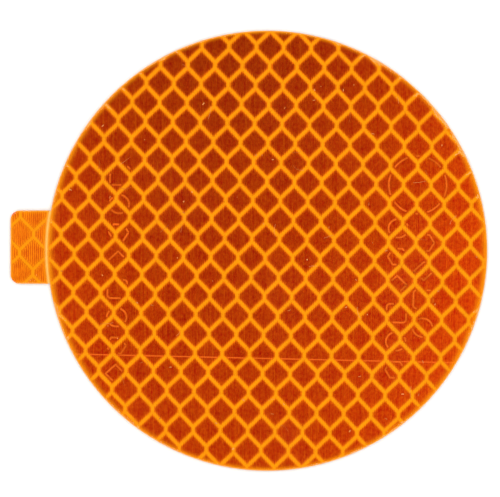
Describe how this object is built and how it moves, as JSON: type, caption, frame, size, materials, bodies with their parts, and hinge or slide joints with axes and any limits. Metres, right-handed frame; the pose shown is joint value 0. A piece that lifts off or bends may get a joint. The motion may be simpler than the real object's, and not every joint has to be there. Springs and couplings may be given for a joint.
{
  "type": "stick-on prismatic reflector",
  "caption": "Flat round amber reflector of air-backed prismatic sheeting, self-adhesive, on a release liner with a finger-lift tab.",
  "frame": {"origin": "centre of the reflector disc, on the underside of the release liner", "axes": "+Z out of the reflective face, -X towards the finger-lift tab, +Y across the tab; the lattice's ruled direction is 1.31 degrees clockwise of +Y seen from +Z"},
  "size_m": [0.0825, 0.0762, 0.0006],
  "materials": {
    "liner": "satin",
    "adhesive": "matte",
    "backing_film": "satin",
    "seal_lattice": "satin",
    "prism_film": "gloss",
    "cover_film": "gloss"
  },
  "bodies": {
    "liner": {"release_liner": "liner"},
    "tab": {"liner_tab": "liner", "tab_adhesive": "adhesive", "tab_backing_film": "backing_film", "tab_seal_lattice": "seal_lattice", "tab_prism_film": "prism_film", "tab_cover_film": "cover_film"},
    "reflector": {"adhesive_layer": "adhesive", "backing_film": "backing_film", "seal_lattice": "seal_lattice", "prism_film": "prism_film", "cover_film": "cover_film"}
  },
  "joints": [
    {"name": "tab_bend", "type": "hinge", "parent": "liner", "child": "tab", "pos_m": [-0.0381, 0, 0.00006], "axis": [0, 1, 0], "range_deg": [0, 25]},
    {"name": "reflector_peel", "type": "hinge", "parent": "liner", "child": "reflector", "pos_m": [0.0381, 0, 0.00013], "axis": [0, 1, 0], "range_deg": [0, 150]}
  ]
}
